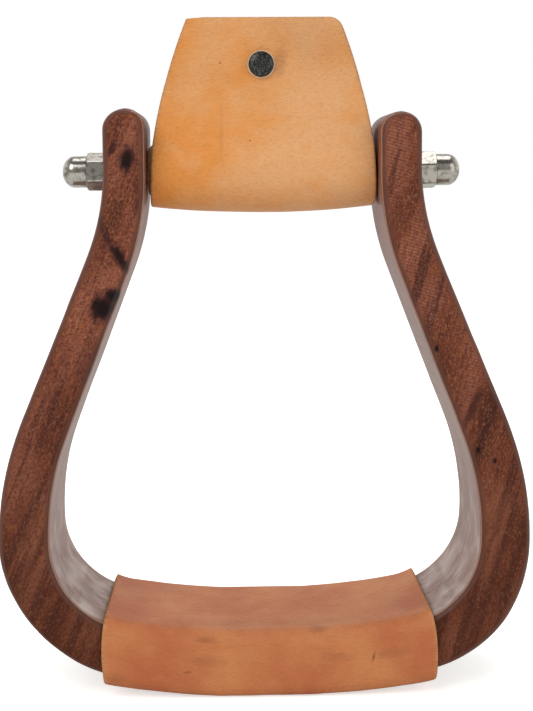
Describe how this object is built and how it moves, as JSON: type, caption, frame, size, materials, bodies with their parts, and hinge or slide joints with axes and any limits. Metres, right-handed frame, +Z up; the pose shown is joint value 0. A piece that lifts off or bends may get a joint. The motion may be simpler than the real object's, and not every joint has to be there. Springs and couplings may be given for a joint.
{
  "type": "wooden western stirrup",
  "caption": "Wooden western stirrup with sawn flared sides, a leather-wrapped dished tread, a neck rod with cap nuts and a swinging folded neck leather.",
  "frame": {"origin": "middle of the neck rod's axis, halfway between the two wooden sides", "axes": "+Z up, from the tread to the neck; +X along the neck rod to the right as seen from the front; +Y from the front to the back"},
  "size_m": [0.1766, 0.057, 0.2245],
  "materials": {
    "stained_wood": "oiled walnut brown, satin",
    "plain_wood": "bare hardwood",
    "russet_leather": "natural russet, semi-matt",
    "nickel_plate": "nickel plated",
    "gunmetal": "blackened, slightly glossy",
    "tack_steel": "plain steel"
  },
  "bodies": {
    "frame": {"left_side": "stained_wood", "right_side": "stained_wood", "tread_bar": "stained_wood", "left_outer_dowel": "plain_wood", "left_inner_dowel": "plain_wood", "right_inner_dowel": "plain_wood", "right_outer_dowel": "plain_wood", "tread_leather": "russet_leather", "front_tack_1": "tack_steel", "front_tack_2": "tack_steel", "front_tack_3": "tack_steel", "front_tack_4": "tack_steel", "front_tack_5": "tack_steel", "front_tack_6": "tack_steel", "front_tack_7": "tack_steel", "rear_tack_1": "tack_steel", "rear_tack_2": "tack_steel", "rear_tack_3": "tack_steel", "rear_tack_4": "tack_steel", "rear_tack_5": "tack_steel", "rear_tack_6": "tack_steel", "rear_tack_7": "tack_steel", "neck_rod": "nickel_plate", "left_cap_nut": "nickel_plate", "right_cap_nut": "nickel_plate"},
    "roller": {"neck_roller": "plain_wood"},
    "neck_flap": {"neck_leather": "russet_leather", "rivet_front": "gunmetal", "rivet_back_cap": "gunmetal"}
  },
  "joints": [
    {"name": "roller_spin", "type": "hinge", "parent": "frame", "child": "roller", "pos_m": [0, 0, 0], "axis": [1, 0, 0], "continuous": true},
    {"name": "neck_leather_swing", "type": "hinge", "parent": "frame", "child": "neck_flap", "pos_m": [0, 0, 0], "axis": [1, 0, 0], "continuous": true}
  ]
}
